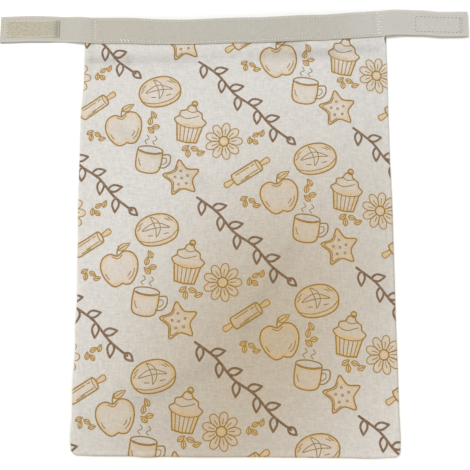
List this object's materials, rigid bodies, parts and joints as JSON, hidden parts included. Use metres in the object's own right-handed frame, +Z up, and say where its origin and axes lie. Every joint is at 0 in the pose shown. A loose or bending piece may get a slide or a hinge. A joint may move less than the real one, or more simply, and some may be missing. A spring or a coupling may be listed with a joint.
{
  "type": "cloth bread bag",
  "caption": "Flat cloth bread bag, open at its mouth, with a woven closure tape whose free tabs carry a hook and a loop patch.",
  "frame": {"origin": "middle of the flat underside of the back panel, half way between the sides and half way along the bag", "axes": "+X along the mouth, to the tab with the hook patch; +Y from the bottom seam to the mouth; +Z up, out of the front panel"},
  "size_m": [0.4676, 0.4333, 0.0108],
  "materials": {
    "cotton": "plain-weave cotton and linen, matte, printed in ochre",
    "tape": "close-woven beige-grey webbing, matte",
    "loop": "brushed loop pile, matte",
    "hook": "woven tape with short stiff hooks"
  },
  "bodies": {
    "root": {"back_panel": "cotton", "front_panel": "cotton", "closure_tape": "tape", "loop_patch": "loop", "hook_patch": "hook"}
  },
  "joints": []
}
